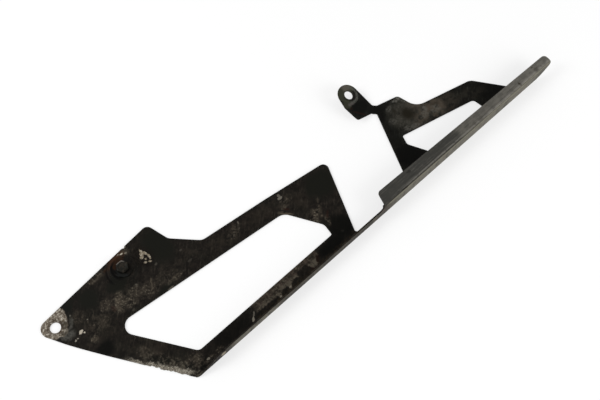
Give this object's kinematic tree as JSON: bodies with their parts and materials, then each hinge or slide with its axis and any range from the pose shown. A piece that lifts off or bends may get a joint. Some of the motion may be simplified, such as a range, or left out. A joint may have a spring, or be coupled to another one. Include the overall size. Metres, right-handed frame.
{
  "type": "motorcycle chain guard",
  "caption": "Folded steel chain guard for a motorcycle: side plates with cut-outs, a lipped long edge and a bent mounting tab.",
  "frame": {"origin": "centre of the end hole, on the outer face of the side plates", "axes": "+X along the folded long edge towards the lipped end, +Y across the side plates away from the fold, +Z towards the inner side; the guard lies on the outer faces of its plates"},
  "size_m": [0.5179, 0.1381, 0.018],
  "materials": {
    "worn_black_sheet": "worn black paint, greasy and scuffed to grey on the folded edge",
    "bolt_steel": "dulled steel with grease",
    "washer_steel": "dirty steel with rust at its rim"
  },
  "bodies": {
    "root": {"guard_sheet": "worn_black_sheet", "bolt": "bolt_steel", "washer": "washer_steel", "nut": "bolt_steel"}
  },
  "joints": []
}
